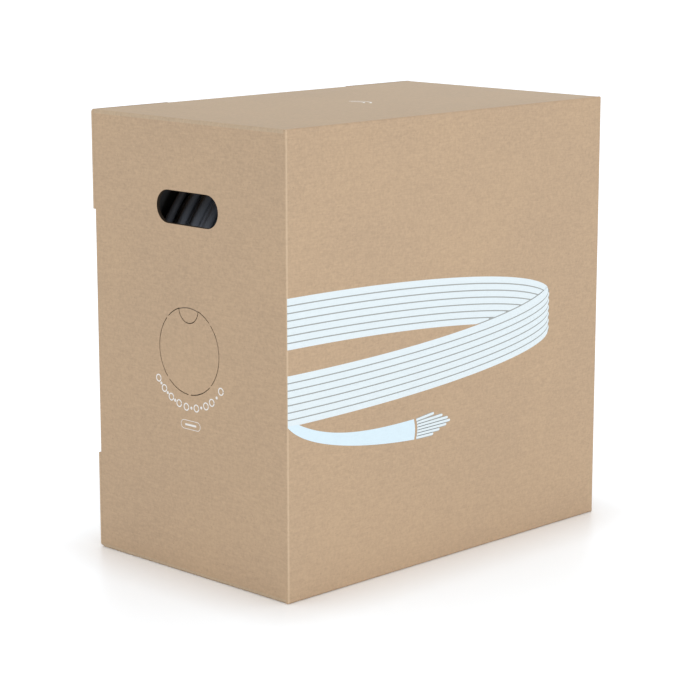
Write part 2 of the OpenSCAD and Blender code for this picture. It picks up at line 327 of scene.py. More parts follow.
def stadium(centre, length, height, count=24):
    """Outline of a pill shape: two half circles joined by straight lines, as rows of two."""
    radius = height / 2
    run = length / 2 - radius
    x, y = centre
    return np.concatenate([arc((x + run, y), radius, -90, 90, count),
                           arc((x - run, y), radius, 90, 270, count)])


# ---------------------------------------------------------------- shader maths


def link(tree, socket, term):
    """Feeds a socket with a value, or sets it to a plain number or colour."""
    if isinstance(term, Value):
        tree.links.new(term.socket, socket)
    else:
        socket.default_value = term


def maths(operation, *terms):
    """The result of one Math node on values and numbers."""
    tree = next(term.tree for term in terms if isinstance(term, Value))
    node = tree.nodes.new("ShaderNodeMath")
    node.operation = operation
    for socket, term in zip(node.inputs, terms):
        link(tree, socket, term)
    return Value(tree, node.outputs[0])


class Value:
    """A shader socket that takes part in Python arithmetic."""

    def __init__(self, tree, socket):
        self.tree, self.socket = tree, socket

    def __add__(self, other):
        return maths("ADD", self, other)

    def __radd__(self, other):
        return maths("ADD", other, self)

    def __sub__(self, other):
        return maths("SUBTRACT", self, other)

    def __rsub__(self, other):
        return maths("SUBTRACT", other, self)

    def __mul__(self, other):
        return maths("MULTIPLY", self, other)

    def __rmul__(self, other):
        return maths("MULTIPLY", other, self)

    def __truediv__(self, other):
        return maths("DIVIDE", self, other)

    def __abs__(self):
        return maths("ABSOLUTE", self)

    def most(self, other):
        """The larger of the two."""
        return maths("MAXIMUM", self, other)

    def over(self, low, high):
        """0 below low, 1 above high, and straight between them."""
        node = self.tree.nodes.new("ShaderNodeMapRange")
        for socket, term in zip(node.inputs, (self, low, high, 0.0, 1.0)):
            link(self.tree, socket, term)
        return Value(self.tree, node.outputs[0])


class Finish:
    """A procedural material under construction, on Object coordinates in metres."""

    def __init__(self, name, roughness=0.7, **fixed):
        self.material = bpy.data.materials.new(name + "_finish")
        self.material.use_nodes = True
        self.tree = self.material.node_tree
        self.shader = self.tree.nodes["Principled BSDF"]
        self.shader.inputs["Roughness"].default_value = roughness
        for socket, value in fixed.items():
            self.shader.inputs[socket.replace("_", " ").title()].default_value = value
        self.point = self.node("ShaderNodeTexCoord", output="Object")
        self.relief = None

    def node(self, kind, settings=(), inputs=(), output=0):
        """One node: its settings first, then the values or links of its sockets."""
        node = self.tree.nodes.new(kind)
        for name, value in dict(settings).items():
            setattr(node, name, value)
        for socket, term in dict(inputs).items():
            link(self.tree, node.inputs[socket], term)
        return Value(self.tree, node.outputs[output])

    def axes(self):
        """The three coordinates of the point."""
        split = self.tree.nodes.new("ShaderNodeSeparateXYZ")
        link(self.tree, split.inputs[0], self.point)
        return [Value(self.tree, socket) for socket in split.outputs]

    def noise(self, scale, detail=3.0, stretch=(1, 1, 1), rough=0.5):
        """Noise from 0 to 1. scale is in lumps a metre, and stretch multiplies it along each axis."""
        spot = self.node("ShaderNodeVectorMath", {"operation": "MULTIPLY"},
                         {0: self.point, 1: stretch})
        return self.node("ShaderNodeTexNoise", {},
                         {"Vector": spot, "Scale": scale, "Detail": detail, "Roughness": rough},
                         "Fac")

    def specks(self, scale):
        """Distance to the nearest of many scattered points."""
        return self.node("ShaderNodeTexVoronoi", {},
                         {"Vector": self.point, "Scale": scale}, "Distance")

    def mix(self, factor, first, second):
        """Blends two colours."""
        return self.node("ShaderNodeMix", {"data_type": "RGBA"},
                         {0: factor, 6: first, 7: second}, 2)

    def set(self, **sockets):
        """Feeds the surface's sockets, which are named in small letters."""
        for socket, term in sockets.items():
            link(self.tree, self.shader.inputs[socket.replace("_", " ").title()], term)
        return self

    def bump(self, height, distance, strength=1.0):
        """Adds a height field to the surface."""
        inputs = {"Height": height, "Distance": distance, "Strength": strength}
        if self.relief is not None:
            inputs["Normal"] = self.relief
        self.relief = self.node("ShaderNodeBump", {}, inputs, "Normal")
        link(self.tree, self.shader.inputs["Normal"], self.relief)
        return self


AMBER = (0.62, 0.40, 0.16)
# Lighter colour of the upright folds: wear of the crushed fibres and partly a painted highlight.
WORN_KRAFT_AND_HIGHLIGHT = (0.66, 0.50, 0.34)
BARE_KRAFT = (0.62, 0.52, 0.42)
# Near-black film over the hand holes' cut edges: painted shade, not the board's own colour.
HOLE_EDGE_SHADE = (0.030, 0.022, 0.017)
EDGE_WEAR_AND_HIGHLIGHT = 0.0017
SCORE_W = 0.0005
PLY_PITCH = 0.085
UPRIGHT_FIBRES = (110, 110, 900)
CROSS_FIBRES = (900, 110, 110)


def colour(rgb, gain=1.0):
    """A colour with its brightness multiplied, as the four numbers that a socket takes."""
    return (*(min(1.0, c * gain) for c in rgb), 1.0)


def fibres(finish, stretch):
    """Kraft paper's clouding, fibres and specks: three values around 0.5, 0.5 and 0 to 1."""
    cloud = finish.noise(9.0, 4.0)
    mottle = finish.noise(380.0, 4.0, rough=0.6)
    fibre = finish.noise(1.0, 3.0, stretch)
    speck = 1 - finish.specks(170.0).over(0.05, 0.16)
    return cloud, mottle, fibre, speck


def folded_edges(finish, reach):
    """1 along the box's upright folds, falling to 0 a reach away from them, on both faces."""
    x, y, _ = finish.axes()
    half = (HIGH - LOW) / 2
    off_x = float(half[X]) - abs(x)
    off_y = float(half[Y]) - abs(y)
    return 1 - off_x.most(off_y).over(reach * 0.4, reach)


def shaded_scored_arc(finish):
    """1 on the pressed line that closes the port's circle above its thumb tab; it is painted dark
    there as shade in the line's groove.
    """
    x, y, z = finish.axes()
    radius = float(PORT_HIGH[X] - PORT_LOW[X]) / 2
    across, up = x - float(PORT_MIDDLE[X]), z - AXLE_Z
    off_ring = abs(maths("SQRT", across * across + up * up) - radius)
    line = 1 - off_ring.over(SCORE_W * 0.8, SCORE_W * 1.2)
    over_tab = up.over(radius * 0.93, radius * 0.94)
    outside = 1 - (y - float(LOW[Y])).over(0.0004, 0.0005)
    return line * over_tab * outside


def kraft_paper(name, rgb, stretch=UPRIGHT_FIBRES, edges=True, dull=0.74):
    """Brown paper with fibres and specks. With edges, its upright folds are lighter, as wear and as a
    painted highlight, and the port's pressed line is darkened as painted shade. Without them, it has
    almost no shine."""
    finish = Finish(name, roughness=0.82)
    cloud, mottle, fibre, speck = fibres(finish, stretch)
    tone = 0.5 + (cloud - 0.5) * 0.5 + (mottle - 0.5) * 1.9 + (fibre - 0.5) * 1.1
    base = finish.mix(tone.over(0.0, 1.0), colour(rgb, 0.89), colour(rgb, 1.11))
    base = finish.mix(cloud.over(0.35, 0.65) * 0.5, base,
                      finish.mix(0.06, base, colour(AMBER)))
    base = finish.mix(speck * 0.35, base, colour(rgb, 0.62))
    if edges:
        # Upright folds lightened as wear and as a painted highlight of the rounded fold.
        worn_and_highlit = folded_edges(finish, EDGE_WEAR_AND_HIGHLIGHT) * finish.noise(300.0, 2.0).over(0.1, 0.45)
        base = finish.mix(worn_and_highlit * 0.6, base, colour(WORN_KRAFT_AND_HIGHLIGHT))
        # Painted shade: the pressed line is darkened to a fifth of the kraft, as dark as the shaded
        # slits of the port's circle.
        base = finish.mix(shaded_scored_arc(finish) * 0.85, base, colour(rgb, 0.2))
    else:
        finish.shader.inputs["Specular IOR Level"].default_value = 0.15
    finish.set(base_color=base, roughness=dull + mottle * 0.2)
    finish.bump(mottle * 0.6 + fibre * 0.4, 0.00012, 0.5)
    return finish.material


def printing_ink(name, rgb):
    """Flexo ink: the board's mottle shows through it, and it misses a few specks."""
    finish = Finish(name, roughness=0.6)
    cloud, mottle, fibre, _ = fibres(finish, UPRIGHT_FIBRES)
    thin = (mottle - 0.5) * 0.8 + (fibre - 0.5) * 0.6 + 0.5
    base = finish.mix(thin.over(0.1, 0.9), colour(rgb, 0.955), colour(rgb, 1.03))
    missed = 1 - finish.specks(420.0).over(0.03, 0.08)
    base = finish.mix(missed * cloud * 0.3, base, colour(BARE_KRAFT))
    finish.set(base_color=base, roughness=0.52 + mottle * 0.2)
    finish.bump(mottle, 0.00006, 0.4)
    return finish.material


def moulded_plastic():
    """Black plastic with a fine grain, a haze and a few level scuffs."""
    finish = Finish("moulded_plastic", roughness=0.45)
    grain = finish.noise(900.0, 3.0)
    haze = finish.noise(22.0, 4.0)
    scuff = finish.noise(1.0, 3.0, (40, 40, 700)).over(0.62, 0.72)
    base = finish.mix(haze, colour((0.016, 0.017, 0.018)), colour((0.030, 0.031, 0.033)))
    base = finish.mix(scuff * 0.25, base, colour((0.075, 0.077, 0.08)))
    finish.set(base_color=base, roughness=0.4 + haze * 0.16 + grain * 0.08)
    finish.bump(grain, 0.0001, 0.35)
    return finish.material


def cable_jacket(rgb):
    """Smooth black jacket with a little dust."""
    finish = Finish("cable_jacket", roughness=0.34)
    haze = finish.noise(60.0, 4.0)
    grain = finish.noise(1300.0, 2.0)
    dust = finish.noise(420.0, 4.0).over(0.64, 0.8)
    base = finish.mix(haze, colour(rgb, 0.8), colour(rgb, 1.35))
    base = finish.mix(dust * 0.2, base, colour((0.16, 0.15, 0.14)))
    finish.set(base_color=base, roughness=0.28 + haze * 0.14)
    finish.bump(grain, 0.00008, 0.3)
    return finish.material


def paperboard():
    """Spiral-wound tube: each ply's seam is a helix about the axle."""
    finish = Finish("paperboard_tube", roughness=0.8)
    x, y, z = finish.axes()
    turn = maths("ARCTAN2", z - AXLE_Z, y) / (2 * math.pi)
    ply = maths("FRACT", x / PLY_PITCH + turn)
    seam = 1 - abs(ply - 0.5).over(0.008, 0.02)
    cloud, mottle, fibre, speck = fibres(finish, (700, 90, 90))
    tone = 0.5 + (cloud - 0.5) * 0.6 + (mottle - 0.5) * 1.2 + (ply - 0.5) * 0.3
    base = finish.mix(tone.over(0.0, 1.0), colour((0.27, 0.185, 0.115)), colour((0.36, 0.26, 0.17)))
    base = finish.mix(seam.most(speck * 0.6) * 0.6, base, colour((0.13, 0.085, 0.05)))
    finish.set(base_color=base, roughness=0.7 + mottle * 0.2)
    finish.bump(mottle * 0.5 - seam, 0.00015, 0.5)
    return finish.material


def zinc_steel():
    """Zinc-plated steel with a soft spangle and some grime."""
    finish = Finish("zinc_steel", roughness=0.3, metallic=1.0)
    spangle = finish.noise(160.0, 4.0)
    grime = finish.noise(60.0, 3.0).over(0.5, 0.75)
    base = finish.mix(spangle, colour((0.50, 0.52, 0.55)), colour((0.68, 0.69, 0.70)))
    base = finish.mix(grime * 0.3, base, colour((0.30, 0.29, 0.26)))
    finish.set(base_color=base, roughness=0.24 + spangle * 0.2 + grime * 0.15)
    finish.bump(spangle, 0.00005, 0.4)
    return finish.material


def paper_tape():
    """Creped paper tape, with its ridges along the axle."""
    finish = Finish("paper_tape", roughness=0.7)
    crepe = finish.noise(1.0, 2.0, (60, 1400, 1400))
    cloud = finish.noise(40.0, 3.0)
    base = finish.mix(cloud, colour((0.62, 0.57, 0.46)), colour((0.74, 0.70, 0.60)))
    finish.set(base_color=finish.mix(crepe * 0.3, base, colour((0.5, 0.45, 0.35))))
    finish.bump(crepe, 0.0002, 0.6)
    return finish.material


PAINTS = {}


def paint(name):
    """The finished material of that name, made once."""
    if name in PAINTS:
        return PAINTS[name]
    scene = bpy.context.scene
    board, ink, cable = scene.spool_board, scene.spool_print, scene.spool_cable
    makers = {
        "kraft_board": lambda: kraft_paper("kraft_board", board.kraft),
        # Painted sheen in the top's paler colour, with real shine from its lower roughness.
        "kraft_top_painted_sheen": lambda: kraft_paper("kraft_top_painted_sheen", board.top_kraft_painted_sheen, CROSS_FIBRES, dull=0.55),
        "kraft_raw": lambda: kraft_paper("kraft_raw", board.raw_kraft, edges=False),
        "hole_edge_painted_shade": lambda: kraft_paper("hole_edge_painted_shade", HOLE_EDGE_SHADE, edges=False),
        "loop_ink": lambda: printing_ink("loop_ink", ink.ink),
        "tail_ink": lambda: printing_ink("tail_ink", ink.tail_ink),
        "line_ink": lambda: printing_ink("line_ink", ink.line_ink),
        "white_ink": lambda: printing_ink("white_ink", ink.white),
        "moulded_plastic": moulded_plastic,
        "cable_jacket": lambda: cable_jacket(cable.jacket),
        "paperboard_tube": paperboard,
        "zinc_steel": zinc_steel,
        "paper_tape": paper_tape,
    }
    PAINTS[name] = makers[name]()
    return PAINTS[name]


def repaint(node, name):
    """Gives a CAD node, which is shown as it is, the finish of that name."""
    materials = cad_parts[node].data.materials
    materials.clear()
    materials.append(paint(name))


# ---------------------------------------------------------------- corrugated board


def offset(path, depth):
    """A path moved sideways by depth, to the right of its own direction."""
    along = np.gradient(path, axis=0)
    along /= np.linalg.norm(along, axis=1, keepdims=True)
    return path + depth * np.stack([along[:, 1], -along[:, 0]], axis=-1)


def outer_liner(start, end, thick, radius, folds):
    """Path of the outer paper across the board: straight, with a quarter circle down to the inner
    face at each end that is a fold."""
    low = arc((start + radius, thick - radius), radius, 180, 90)
    high = arc((end - radius, thick - radius), radius, 90, 0)
    path = [np.array([[start, 0.0]]), low] if folds[0] else [np.array([[start, thick]])]
    path += [high, np.array([[end, 0.0]])] if folds[1] else [np.array([[end, thick]])]
    return np.concatenate(path)


TRIM_SPARE = 0.004
HAIR = 0.00002


def fluted_paper(start, end, crush, thick, sizes):
    """Centre line of the fluted paper: w(u) = middle + amplitude sin(2 pi u / pitch)."""
    count = int((end - start) / sizes.flute_pitch * 12)
    u = np.linspace(start + crush[0], end - crush[1], count)
    amplitude = (thick - 2 * sizes.liner - sizes.medium) / 2 - HAIR
    wave = thick / 2 + amplitude * np.sin(2 * math.pi * u / sizes.flute_pitch)
    return np.stack([u, wave], axis=-1)


def trimmer(node, waves, across, folds, spare):
    """A copy of a CAD node that is three times as thick and reaches past its folded ends. What it
    cuts takes the second material."""
    outline = merged_copy(node)
    mesh = outline.data
    low, high = (np.array(corner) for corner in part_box(node))
    points = np.empty(3 * len(mesh.vertices))
    mesh.vertices.foreach_get("co", points)
    points = points.reshape(-1, 3)
    centre = (low[across] + high[across]) / 2
    points[:, across] = centre + (points[:, across] - centre) * 3
    fold_zone = bpy.context.scene.spool_board.fold_radius * 1.05
    if folds[0]:
        points[points[:, waves] < low[waves] + fold_zone, waves] -= spare
    if folds[1]:
        points[points[:, waves] > high[waves] - fold_zone, waves] += spare
    mesh.vertices.foreach_set("co", points.ravel())
    for _ in range(2):
        mesh.materials.append(None)
    mesh.polygons.foreach_set("material_index", [1] * len(mesh.polygons))
    return outline


def board(name, node, waves, flutes, face, paints, folds=(False, False), trim=True):
    """Single-wall board in the place of a CAD node: two papers and the fluted paper between them,
    carried straight along the flutes and then trimmed to the node's outline. waves and flutes are
    axes, face is the outer side's sign, and folds says which ends along the waves are folded."""
    sizes = bpy.context.scene.spool_board
    low, high = (np.array(corner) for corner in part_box(node))
    across = 3 - waves - flutes
    thick = float(high[across] - low[across])
    spare = TRIM_SPARE if trim else 0.0
    start = low[waves] - (0 if folds[0] else spare)
    end = high[waves] + (0 if folds[1] else spare)
    ends = (low[flutes] - spare, high[flutes] + spare)

    def lay(section, distance):
        inwards = section[:, 1]
        points = np.empty((len(section), 3))
        points[:, waves] = section[:, 0]
        points[:, flutes] = distance
        points[:, across] = low[across] + inwards if face > 0 else high[across] - inwards
        return points

    shell = Shell()
    outside = outer_liner(start, end, thick, sizes.fold_radius, folds)
    shell.strip(outside, offset(outside, sizes.liner), *ends, lay)
    inset = [sizes.liner * 1.5 if fold else 0.0 for fold in folds]
    inside = np.array([[start + inset[0], sizes.liner], [end - inset[1], sizes.liner]])
    shell.strip(inside, offset(inside, sizes.liner), *ends, lay, coat=1)
    crush = [sizes.fold_radius if fold else 0.0 for fold in folds]
    middle = fluted_paper(start, end, crush, thick, sizes)
    shell.strip(offset(middle, -sizes.medium / 2), offset(middle, sizes.medium / 2), *ends, lay,
                coat=1)
    thing = place(name, shell.mesh(name), paints)
    if trim:
        cut(thing, trimmer(node, waves, across, folds, spare), "INTERSECT")
    return thing


class SPOOLBOX_OT_walls(bpy.types.Operator):
    """Fold the carton's five fixed panels and its glued flaps"""

    bl_idname = "spoolbox.walls"
    bl_label = "Carton walls"

    def execute(self, context):
        kraft, top, raw = paint("kraft_board"), paint("kraft_top_painted_sheen"), paint("kraft_raw")
        repaint("side_panel", "kraft_board")
        for node, face in (("front_panel", -1), ("rear_panel", 1)):
            wall = board(node + "_board", node, X, Z, face, (kraft, raw))
            fit(wall, "carton", "kraft_board", node)
        for node, face in (("top_panel", 1), ("bottom_panel", -1)):
            wall = board(node + "_board", node, Y, X, face, (top, raw), (True, True), trim=False)
            fit(wall, "carton", "kraft_board", node)
        for level, face in (("top", 1), ("bottom", -1)):
            for end in ("front", "rear"):
                node = f"glue_flap_{end}_{level}"
                flap = board(node + "_board", node, X, Y, face, (raw, raw))
                fit(flap, "carton", "kraft_inner", node)
        return {"FINISHED"}


RIM_T = 0.0003
RIM_INSET = 0.0002


class SPOOLBOX_OT_hole_rims(bpy.types.Operator):
    """Line the hand holes' cut edges with a near-black film: painted shade"""

    bl_idname = "spoolbox.hole_rims"
    bl_label = "Hand hole rims"

    def execute(self, context):
        for name, sign in (("front", -1), ("rear", 1)):
            face = float(HIGH[Y]) * sign
            depth = face - sign * np.array([RIM_INSET, BOARD_T - RIM_INSET])
            ring = []
            for out, along in ((0, depth[0]), (0, depth[1]), (RIM_T, depth[1]), (RIM_T, depth[0])):
                flat = stadium(HAND_HOLE, HAND_SIZE[0] - 2 * out, HAND_SIZE[1] - 2 * out)
                ring.append(np.stack([flat[:, 0], 0 * flat[:, 0] + along, flat[:, 1]], axis=-1))
            shell = Shell()
            shell.grid(np.stack(ring), wrap_u=True, wrap_v=True)
            title = name + "_hole_rim"
            # Painted shade: the rim is near-black.
            fit(place(title, shell.mesh(title), (paint("hole_edge_painted_shade"),)), "carton", "kraft_inner")
        return {"FINISHED"}


class SPOOLBOX_OT_port(bpy.types.Operator):
    """Cut the perforated disc and its thumb tab"""

    bl_idname = "spoolbox.port"
    bl_label = "Pay-out port"

    def execute(self, context):
        paints = (paint("kraft_board"), paint("kraft_raw"))
        for node in ("port_disc", "thumb_tab"):
            thing = board(node + "_board", node, X, Z, -1, paints)
            fit(thing, node, "kraft_board", node)
        return {"FINISHED"}


def along_edge(name, outline, along, span, corner, inwards, paints, coat=0):
    """An outline carried along an edge of the door. Its first column is the distance in from the
    door's outer face, and its second the distance into the box along the remaining axis; corner
    holds where both start, and inwards is the sign of the second."""
    other = 3 - X - along

    def lay(section, distance):
        points = np.empty((len(section), 3))
        points[:, along] = distance
        points[:, X] = corner[0] + section[:, 0]
        points[:, other] = corner[1] + inwards * section[:, 1]
        return points

    shell = Shell()
    shell.prism(outline, *span, lay, coat)
    return place(name, shell.mesh(name), paints)


def rectangle(low, high):
    """Outline of a rectangle between two corners, as rows of two."""
    return np.array([[low[0], low[1]], [high[0], low[1]], [high[0], high[1]], [low[0], high[1]]])


DOOR_CORNER_R = 0.003
CREASE_PAST = 0.0012
CREASE_CLEAR = 0.0004
STRIP_T = 0.0004
DOOR_TABS = {
    "top_tab": (Y, X, -1, Y),
    "bottom_tab": (Y, X, 1, Y),
    "front_tab": (X, Z, 1, Z),
}


class SPOOLBOX_OT_door(bpy.types.Operator):
    """Hang the door with its tuck tabs"""

    bl_idname = "spoolbox.door"
    bl_label = "Door"

    def execute(self, context):
        kraft, raw = paint("kraft_board"), paint("kraft_raw")
        door = board("door_board", "door_panel", Y, Z, -1, (kraft, raw), (False, True))
        fit(door, "door", "kraft_board", "door_panel")
        low, high = (np.array(corner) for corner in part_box("door_panel"))
        for node, (waves, flutes, inwards, along) in DOOR_TABS.items():
            tab = board(node + "_board", node, waves, flutes, -inwards, (kraft, raw))
            fit(tab, node, "kraft_board", node)
            box = [np.array(corner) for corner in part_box(node)]
            edge = box[0 if inwards > 0 else 1][3 - X - along]
            span = (box[0][along] - CREASE_PAST, box[1][along] + CREASE_PAST)
            self.crease(door, node, along, span, (low[X], edge), inwards)
        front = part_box("front_tab")
        past = CREASE_PAST + CREASE_CLEAR
        self.close_corner("low", low, (low[Y], low[Z]), 1, front[0][Z] - past)
        self.close_corner("high", low, (low[Y], high[Z]), -1, front[1][Z] + past)
        return {"FINISHED"}

    def close_corner(self, name, low, corner, inwards, end):
        """A thin paper strip between the door's two papers, which closes its flutes round a free
        corner and along the front edge to the end height."""
        liner = bpy.context.scene.spool_board.liner
        turn = arc((corner[0] + DOOR_CORNER_R, corner[1] + inwards * DOOR_CORNER_R), DOOR_CORNER_R,
                   180 + 90 * inwards, 180)
        path = np.concatenate([[[turn[0][0] + 0.004, corner[1]]], turn, [[corner[0], end]]])

        def lay(section, distance):
            across = np.full(len(section), low[X] + distance)
            return np.stack([across, section[:, 0], section[:, 1]], axis=-1)

        shell = Shell()
        shell.strip(offset(path, inwards * HAIR), offset(path, inwards * STRIP_T),
                    liner, BOARD_T - liner, lay)
        title = "door_corner_" + name
        fit(place(title, shell.mesh(title), (paint("kraft_board"),)), "door", "kraft_board")

    def crease(self, door, node, along, span, corner, inwards):
        """Clears the door along a crease and fills it with the rounded edge: a quarter circle
        between the door's outer face and the tab's outer face."""
        kraft, raw = paint("kraft_board"), paint("kraft_raw")
        radius = bpy.context.scene.spool_board.fold_radius
        clear = rectangle((-0.001, -0.004), (BOARD_T + 0.001, radius))
        wide = (span[0] - CREASE_CLEAR, span[1] + CREASE_CLEAR)
        clearing = along_edge(node + "_clearing", clear, along, wide, corner, inwards,
                              (kraft, raw), coat=1)
        cut(door, clearing, "DIFFERENCE")
        edge = np.concatenate([arc((radius, radius), radius, 180, 270, 10),
                               [[BOARD_T, 0.0], [BOARD_T, radius], [0.0, radius]]])
        fit(along_edge(node + "_crease", edge, along, span, corner, inwards, (kraft,)),
            "door", "kraft_board")


class SPOOLBOX_OT_braces(bpy.types.Operator):
    """Cut the two boards that carry the axle"""

    bl_idname = "spoolbox.braces"
    bl_label = "Axle braces"

    def execute(self, context):
        raw = paint("kraft_raw")
        for node in ("axle_brace_side", "axle_brace_door"):
            thing = board(node + "_board", node, Y, Z, -1, (raw, raw))
            fit(thing, "carton", "kraft_inner", node)
        return {"FINISHED"}


# ---------------------------------------------------------------- print


def on_side(back, height, lift):
    """Points on the printed side: back is the distance from the middle of the front fold, measured
    round the fold's quarter circle and then straight along the panel. lift is how proud they are."""
    radius = bpy.context.scene.spool_board.fold_radius
    bent = radius * math.pi / 4
    angle = np.clip((bent - back) / radius, 0, math.pi / 4)
    straight = np.clip(back - bent, 0, None)
    points = np.empty((*np.broadcast(back, height).shape, 3))
    points[..., X] = HIGH[X] - radius + (radius + lift) * np.cos(angle)
    points[..., Y] = LOW[Y] + radius - (radius + lift) * np.sin(angle) + straight
    points[..., Z] = height
    return points


def on_end(across, height, lift):
    """Points on the front end, lift proud of the board."""
    points = np.empty((*np.broadcast(across, height).shape, 3))
    points[..., X], points[..., Y], points[..., Z] = across, LOW[Y] - lift, height
    return points


def on_top(across, back, lift):
    """Points on the top, lift proud of the board."""
    points = np.empty((*np.broadcast(across, back).shape, 3))
    points[..., X], points[..., Y], points[..., Z] = across, back, HIGH[Z] + lift
    return points


INK_T = 0.00006
BED_INSET = 0.0003


def ink_patch(shell, lay, first, second, coat=0, wrap_u=False, proud=INK_T):
    """A film of ink over the grid (first, second): its outer face, its inner face and its rim."""
    outer, inner = lay(first, second, proud), lay(first, second, -INK_T / 2)
    if wrap_u:
        ring = np.stack([outer[:, 0], outer[:, -1], inner[:, -1], inner[:, 0]], axis=1)
        shell.grid(ring, wrap_u=True, wrap_v=True, coat=coat)
        return
    shell.grid(outer, coat=coat)
    shell.grid(inner[:, ::-1], coat=coat)
    rim = [(outer[0], inner[0]), (outer[-1], inner[-1]),
           (outer[:, 0], inner[:, 0]), (outer[:, -1], inner[:, -1])]
    for above, below in rim:
        shell.grid(np.stack([above, below]), coat=coat)


def loop_lines(shell, sizes):
    """The printed loop, in two halves that turn at the same reach. With s = sqrt(1 - (x/reach)^2),
    line k of the far half lies below z = far height - pitch k + far rise s, and line k of the near
    half, which covers it, below z = near height - pitch k - near fall s. Line 0 runs round the turn
    in one piece, and a lower film of the line ink under each half shows between its lines."""
    reach, pitch, gap = sizes.loop_reach, sizes.line_pitch, sizes.line_gap
    share = np.linspace(0, 1, 9)[None, :]

    def swell(back):
        """s in the formulas above: 1 at the fold, and 0 at the turn."""
        return np.sqrt(np.clip(1 - (back / reach) ** 2, 0, None))

    def run(least):
        """Distances from the fold to where s has fallen to least, close together at both ends."""
        last = math.acos(least)
        turn = np.concatenate([np.linspace(0, 0.012, 8), np.linspace(0.012, last, 110)[1:]])
        return reach * np.sin(turn)[:, None]

    def fill(back, over, under, coat, bulge=0.0, proud=INK_T):
        """A film between two curves, whose far end bulges in along its edges."""
        height = over + share * (under - over)
        ends = bulge * (2 * share - 1) ** 2 * (back / reach) ** 60
        ink_patch(shell, on_side, back - ends, height, coat, proud=proud)

    def near_edge(back):
        """Upper edge of the near half, which widens towards the turn."""
        return (sizes.near_height - sizes.near_fall * swell(back)
                + sizes.turn_rise * (back / reach) ** 4)

    both = sizes.far_rise + sizes.near_fall
    lift = sizes.near_height + sizes.turn_rise - sizes.far_height
    for k in range(sizes.line_count):
        back = run(0.0)
        over = sizes.near_height - pitch * k - sizes.near_fall * swell(back) - gap / 2
        under = over - pitch + gap
        if k == 0:
            outside = sizes.far_height + sizes.far_rise * swell(back)
            over = np.minimum(near_edge(back), outside)
        fill(back, over, under, 0, bulge=0.0012)
        back = run((lift + pitch * k + (gap if k else 0)) / both)
        over = sizes.far_height - pitch * k + sizes.far_rise * swell(back) - (gap / 2 if k else 0)
        under = sizes.far_height - pitch * (k + 1) + sizes.far_rise * swell(back) + gap / 2
        hidden = near_edge(back) + gap * (1 if k else np.clip((swell(back) - 0.2) * 30, 0, 1))
        fill(back, over, np.minimum(np.maximum(under, hidden), over), 0)

    inset, depth = BED_INSET, pitch * sizes.line_count - gap
    back = run(0.0)
    over = np.minimum(near_edge(back), sizes.far_height + sizes.far_rise * swell(back)) - inset
    under = sizes.near_height - sizes.near_fall * swell(back) - depth
    fill(back * 0.9955, over, under, 2, proud=INK_T / 2)
    back = run(lift / both)
    over = sizes.far_height + sizes.far_rise * swell(back) - inset
    fill(back, over, np.minimum(np.maximum(over - depth, near_edge(back) - inset), over), 2,
         proud=INK_T / 2)


def bezier(points, count):
    """A cubic curve through four control points, as rows."""
    t = np.linspace(0, 1, count)[:, None]
    a, b, c, d = (np.asarray(p, float) for p in points)
    return a * (1 - t) ** 3 + 3 * b * t * (1 - t) ** 2 + 3 * c * t ** 2 * (1 - t) + d * t ** 3


TAIL_START = ((0.0, 161.6), (12.0, 161.4))
TAIL_TOP = ((12.0, 161.4), (50.0, 142.5), (96.0, 139.0), (160.5, 141.2))
TAIL_BOTTOM = ((0.0, 160.2), (20.0, 138.5), (88.0, 125.5), (161.0, 121.8))
CORES = ((22.0, 0.0), (30.0, 0.4), (39.0, 0.8), (44.0, 1.2), (41.0, 1.8), (34.0, 3.2), (23.0, 6.5))
CORE_W, CORE_PITCH, CORE_BED = 2.3, 2.8, 1.1
CORE_ROOT, CORE_BULGE = (164.0, 131.4), 1.2


def loop_tail(shell):
    """The printed free end: a band between two cubic curves, and a sheaf of plain rods out of its
    end, each over a wider rod of the line ink. Its outlines above are in millimetres."""
    start = np.stack([np.linspace(a, b, 16)[:-1] for a, b in zip(*TAIL_START)], axis=-1)
    over = np.concatenate([start, bezier(TAIL_TOP, 105)]) * MM
    under = bezier(TAIL_BOTTOM, len(over)) * MM
    share = np.linspace(0, 1, 7)[None, :]
    back = over[:, :1] + share * (under[:, :1] - over[:, :1])
    height = over[:, 1:] + share * (under[:, 1:] - over[:, 1:])
    ends = 1.6 * MM * (1 - (2 * share - 1) ** 2) * (back / back.max()) ** 60
    ink_patch(shell, on_side, back + ends, height, 1, proud=INK_T * 1.4)
    side = np.linspace(-1, 1, 7)[None, :]
    along = np.linspace(0, 1, 14)[:, None]
    films = ((CORE_W, 1.0, 0, INK_T), (CORE_W + CORE_BED, 0.97, 2, INK_T / 2))
    for index, (length, rise) in enumerate(CORES):
        rank = index - (len(CORES) - 1) / 2
        angle = math.radians(rise)
        root = np.array([CORE_ROOT[0] + CORE_BULGE * (1 - (rank / 3) ** 2),
                         CORE_ROOT[1] + CORE_PITCH * rank]) * MM
        for width, reach, coat, proud in films:
            across = width / 2 * MM * side
            tip = width / 2 * MM * (1 - side ** 2) ** 0.5 * along ** 4
            run = along * length * reach * MM + tip
            back = root[0] + run * math.cos(angle) - across * math.sin(angle)
            height = root[1] + run * math.sin(angle) + across * math.cos(angle)
            ink_patch(shell, on_side, back, height, coat, proud=proud)


class SPOOLBOX_OT_loop_print(bpy.types.Operator):
    """Print the plain cable loop on the side"""

    bl_idname = "spoolbox.loop_print"
    bl_label = "Printed loop"

    def execute(self, context):
        shell = Shell()
        loop_lines(shell, context.scene.spool_print)
        loop_tail(shell)
        inks = (paint("loop_ink"), paint("tail_ink"), paint("line_ink"))
        thing = place("printed_loop", shell.mesh("printed_loop"), inks)
        fit(thing, "carton", "kraft_board")
        return {"FINISHED"}


